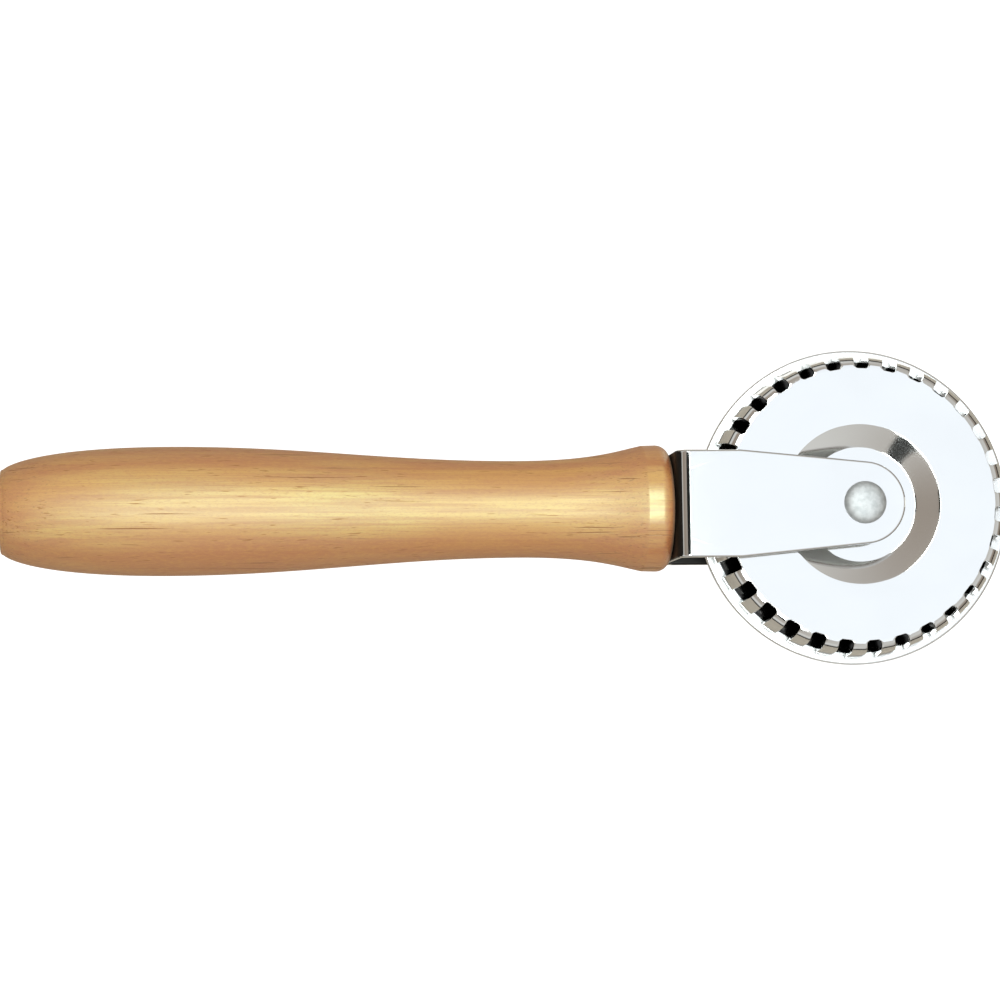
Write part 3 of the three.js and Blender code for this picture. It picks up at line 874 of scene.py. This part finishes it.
def makeScrew():
    form = screwForm
    low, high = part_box("yoke_screw")
    tip, top = low.x, high.x
    head, rise = form["headRadius"], form["headHeight"]
    seat = top - rise
    sides = form["sides"]
    angles = [fullTurn * side / sides for side in range(sides)]
    bm = bmesh.new()
    rows = []

    def addRow(height, radii):
        row = []
        for angle, radius in zip(angles, radii):
            across, up = radius * math.cos(angle), radius * math.sin(angle)
            row.append(bm.verts.new((height, axle.y + across, axle.z + up)))
        rows.append(row)

    def threadRadius(height, angle):
        fromTip = height - tip
        taper = min(1.0, fromTip / form["point"])
        run = fromTip / form["pitch"] - angle / fullTurn
        ridge = max(0.0, 1 - form["ridgeSlope"] * abs(run - round(run)))
        fade = min(1.0, max(0.0, (seat - form["plainLength"] - height) / form["pitch"]))
        shank = form["core"] + (form["crest"] - form["core"]) * (1 - fade)
        return taper * max(shank, form["core"] + (form["crest"] - form["core"]) * ridge)

    step = form["pitch"] / form["rowsPerPitch"]
    height = tip + step / 2
    while height < seat:
        addRow(height, [threadRadius(height, angle) for angle in angles])
        height += step
    addRow(seat, [form["crest"]] * sides)
    addRow(seat, [head] * sides)
    for radius, height in curve((head, seat + rise / 2), (head, seat + rise * form["headPullUp"]),
                                (head * form["headPullIn"], top), (head / 2, top), form["headSteps"]):
        addRow(height, [radius] * sides)
    for lower, upper in zip(rows, rows[1:]):
        for i in range(sides):
            j = (i + 1) % sides
            bm.faces.new((lower[i], lower[j], upper[j], upper[i]))
    for row, place in ((rows[0], tip), (rows[-1], top)):
        centre = bm.verts.new((place, axle.y, axle.z))
        for i in range(sides):
            bm.faces.new((row[i], row[(i + 1) % sides], centre))
    bmesh.ops.recalc_face_normals(bm, faces=bm.faces)
    screw = makePiece("slotted_screw", bm, plainTurned, "frame", "yoke_screw",
                      form["crease"])
    cutDriverSlot(screw, Vector((top, axle.y, axle.z)))
    return screw


makeScrew()


# stage: a white floor for the camera, and a plain studio that the steel mirrors: two soft lights
# overhead, a dark camera and its stand, a bench with a glowing paper on it as a painted light, and a room
# that is dark low down

stageForm = {
    "white": (1, 1, 1, 1), "darkColour": (0.02, 0.02, 0.02, 1),
    "floorSize": 6.0, "floorDrop": 0.2 * mm, "floorColour": (0.35, 0.35, 0.35, 1), "floorGlow": 0.9,
    "benchDrop": 1.5 * mm, "benchColour": (0.46, 0.41, 0.35, 1),
    # the glowing paper: a painted light under the wheel
    "glowingPaper": ((0.04, -0.024), (0.084, 0.06)), "paperDrop": 1.0 * mm,
    "paperColour": (0.85, 0.83, 0.80, 1), "paperGlow": 0.35,
    "lightHeight": 0.70,
    "lights": {                                      # shape, two corners, glow, colour
        "handleLight": ("ELLIPSE", (-0.16, -0.34), (0.115, 0.38), 12.6, (0.92, 1.0, 0.99)),
        "wheelLight": ("RECTANGLE", (0.115, -0.36), (0.335, 0.50), 0.96, (0.744, 0.866, 1.0)),
    },
    "gearHeight": 0.605,
    "gear": {                                        # two corners
        "stand": ((-0.112, -0.41), (-0.008, -0.225)),
        "cameraBody": ((-0.12, -0.05), (0.0, 0.12)),
        "cameraArm": ((-0.20, -0.01), (0.09, 0.10)),
    },
    "warmRoom": (0.42, 0.348, 0.28, 1), "coolRoom": (0.95, 0.95, 0.91, 1),
    "coolSide": (0.67, -0.24, 0), "coolSpan": (-0.5, 0.5),     # which way the room turns cool
    "lowCoolSide": (-1.0, 0, 0), "lowCoolSpan": (-0.9, -0.1),  # the same low down
    "lowUpTo": (0.45, 0.65), "darkUpTo": (0.10, 0.30),
}


def card(name, low, high, height, material):
    bm = bmesh.new()
    corners = [(low[0], low[1]), (high[0], low[1]), (high[0], high[1]), (low[0], high[1])]
    bm.faces.new([bm.verts.new((x, y, height)) for x, y in corners])
    mesh = bpy.data.meshes.new(name)
    bm.to_mesh(mesh)
    bm.free()
    mesh.materials.append(material)
    made = bpy.data.objects.new(name, mesh)
    bpy.context.scene.collection.objects.link(made)
    return made


def matt(name, colour, glow=0.0, glowColour=None):
    nodes = Nodes(bpy.data.materials.new(name))
    return nodes.finish({"Base Color": colour, "Roughness": 1.0, "Specular IOR Level": 0.0,
                         "Emission Color": glowColour or colour, "Emission Strength": glow})


def makeLight(name, shape, low, high, glow, colour):
    light = bpy.data.lights.new(name, "AREA")
    light.shape = shape
    light.color = colour
    light.size, light.size_y = high[0] - low[0], high[1] - low[1]
    fill = math.pi / 4 if shape == "ELLIPSE" else 1.0
    light.energy = glow * math.pi * fill * light.size * light.size_y
    softbox = bpy.data.objects.new(name, light)
    softbox.location = ((low[0] + high[0]) / 2, (low[1] + high[1]) / 2, stageForm["lightHeight"])
    softbox.visible_camera = False
    bpy.context.scene.collection.objects.link(softbox)


def makeWorld():
    form = stageForm
    world = bpy.data.worlds.new("studio")
    bpy.context.scene.world = world
    nodes = Nodes(world)
    aim = nodes.add("ShaderNodeTexCoord").outputs["Generated"]
    rise = nodes.add("ShaderNodeSeparateXYZ", Vector=aim).outputs["Z"]

    def towards(side, span):
        dot = nodes.add("ShaderNodeVectorMath", {"operation": "DOT_PRODUCT"})
        nodes.feed(dot, 0, aim)
        nodes.feed(dot, 1, side)
        return nodes.span(dot.outputs["Value"], *span, 0, 1)

    cool = nodes.add("ShaderNodeMix")                # 2 and 3 are the node's two numbers
    nodes.feed(cool, 0, nodes.span(rise, *form["lowUpTo"], 0, 1))
    nodes.feed(cool, 2, towards(form["lowCoolSide"], form["lowCoolSpan"]))
    nodes.feed(cool, 3, towards(form["coolSide"], form["coolSpan"]))
    walls = nodes.mix(cool.outputs[0], form["warmRoom"], form["coolRoom"])
    room = nodes.tree.nodes["Background"]
    outOfDark = nodes.span(rise, *form["darkUpTo"], 0, 1)
    nodes.feed(room, "Color", nodes.mix(outOfDark, form["darkColour"], walls))
    backdrop = nodes.add("ShaderNodeBackground", Color=form["white"])
    seen = nodes.add("ShaderNodeMixShader")          # the camera sees white, the steel the room
    nodes.feed(seen, 0, nodes.add("ShaderNodeLightPath").outputs["Is Camera Ray"])
    nodes.feed(seen, 1, room.outputs[0])
    nodes.feed(seen, 2, backdrop.outputs[0])
    nodes.feed(nodes.tree.nodes["World Output"], "Surface", seen.outputs[0])


def makeStage():
    form = stageForm
    half = form["floorSize"] / 2
    corners = ((-half, -half), (half, half))
    pale = matt("paleFloor", form["floorColour"], form["floorGlow"], form["white"])
    floor = card("floor", *corners, -form["floorDrop"], pale)
    floor.visible_diffuse = floor.visible_glossy = floor.visible_shadow = False
    unseen = [card("bench", *corners, -form["benchDrop"], matt("bench", form["benchColour"]))]
    glowingPaper = matt("glowingPaper", form["paperColour"], form["paperGlow"])
    unseen.append(card("glowingPaper", *form["glowingPaper"], -form["paperDrop"], glowingPaper))
    black = matt("blackGear", form["darkColour"])
    for name, gearCorners in form["gear"].items():
        unseen.append(card(name, *gearCorners, form["gearHeight"], black))
    for made in unseen:
        made.visible_camera = False
    for name, settings in form["lights"].items():
        makeLight(name, *settings)
    makeWorld()


makeStage()


# camera: above the tool, a little towards the butt, as the photograph was taken

cameraForm = {
    "target": (-2.01 * mm, 1.71 * mm, 12.95 * mm), "distance": 591.1 * mm,
    "sideways": math.radians(-6.01), "up": math.radians(-4.635), "roll": math.radians(-0.813),
    "lens": 118.35, "sensor": 36.0, "clipStart": 0.02, "clipEnd": 50,
}


def makeCamera():
    form = cameraForm
    back = Vector((math.sin(form["sideways"]) * math.cos(form["up"]), math.sin(form["up"]),
                   math.cos(form["sideways"]) * math.cos(form["up"])))
    right = Vector((0, 1, 0)).cross(back).normalized()
    up = back.cross(right)
    tiltedRight = right * math.cos(form["roll"]) + up * math.sin(form["roll"])
    tiltedUp = up * math.cos(form["roll"]) - right * math.sin(form["roll"])
    data = bpy.data.cameras.new("camera")
    data.lens, data.sensor_width = form["lens"], form["sensor"]
    data.clip_start, data.clip_end = form["clipStart"], form["clipEnd"]
    camera = bpy.data.objects.new("camera", data)
    turn = Matrix((tiltedRight, tiltedUp, back)).transposed().to_4x4()
    camera.matrix_world = Matrix.Translation(Vector(form["target"]) + back * form["distance"]) @ turn
    bpy.context.scene.collection.objects.link(camera)
    bpy.context.scene.camera = camera
    return camera


makeCamera()
bpy.context.scene.view_settings.view_transform = "Standard"
bpy.context.scene.view_settings.look = "None"
print("stage, light and camera ready")
